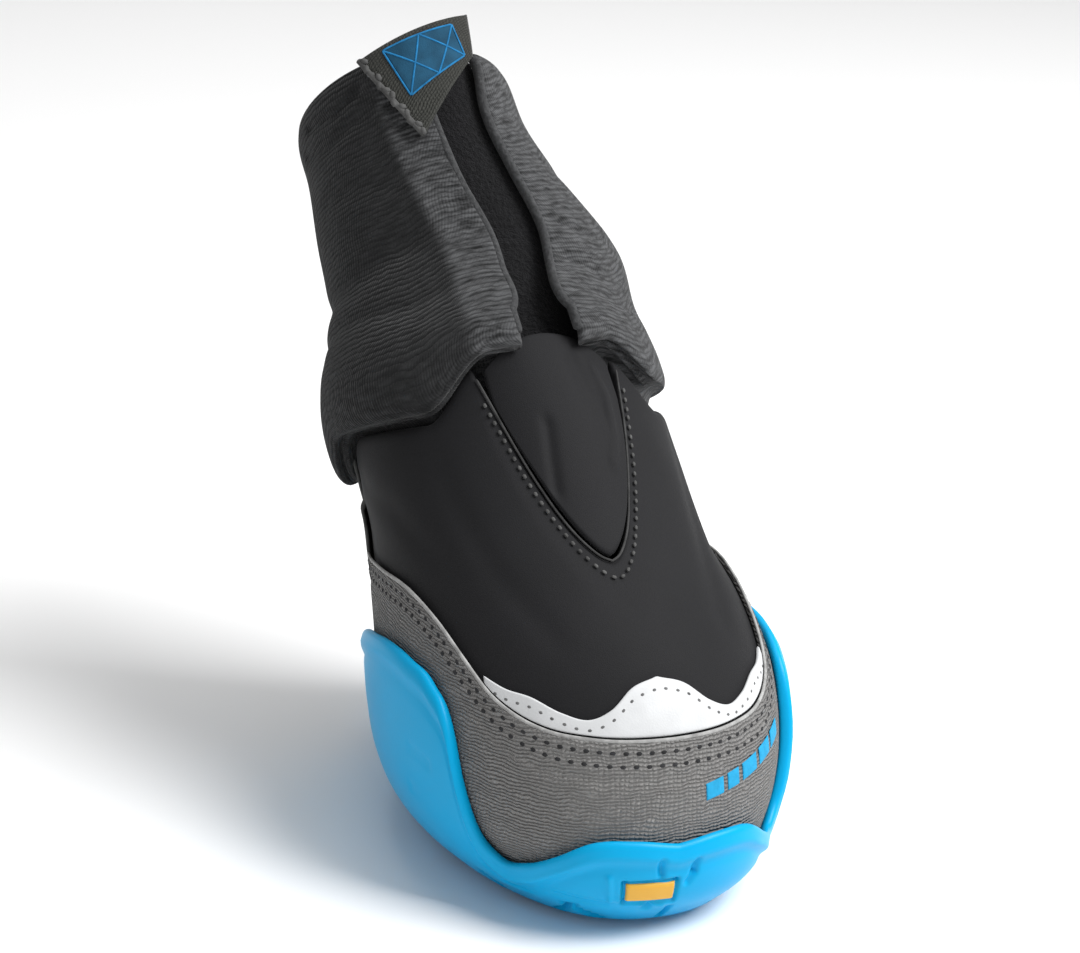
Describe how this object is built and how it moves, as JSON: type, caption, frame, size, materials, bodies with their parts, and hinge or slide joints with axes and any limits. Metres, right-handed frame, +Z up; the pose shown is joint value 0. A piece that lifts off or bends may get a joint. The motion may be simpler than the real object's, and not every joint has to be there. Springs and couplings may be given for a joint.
{
  "type": "dog boot",
  "caption": "Soft dog boot with a blue rubber cup sole, padded dark upper, grey mudguard band, knit sleeve with a front slit and a collar tab.",
  "frame": {"origin": "middle of the flat spot under the ball of the foot, on the tread's centre line", "axes": "+Z up, toe toward -Y, heel toward +Y, +X to the boot's left side when it is worn"},
  "size_m": [0.0697, 0.1173, 0.1307],
  "materials": {
    "rubber_blue": "smooth moulded rubber with fine tread grooves",
    "insole_fabric": "flat foam under knit",
    "softshell": "fine woven softshell",
    "grey_band": "coarse woven abrasion cloth with two stitch rows",
    "silver_trim": "smooth reflective film on cloth",
    "knit": "ribbed knit",
    "loop_strip": "fuzzy loop fabric",
    "tab_cloth": "woven tab with a light bound edge",
    "amber": "moulded amber inlay"
  },
  "bodies": {
    "root": {"outsole": "rubber_blue", "insole": "insole_fabric", "upper": "softshell", "throat_gusset": "softshell", "mudguard": "grey_band", "heel_panel": "softshell", "toe_trim": "silver_trim", "gaiter": "knit", "closure_strip": "loop_strip", "collar_tab": "tab_cloth", "toe_plug": "amber", "tread_plug": "amber"}
  },
  "joints": []
}
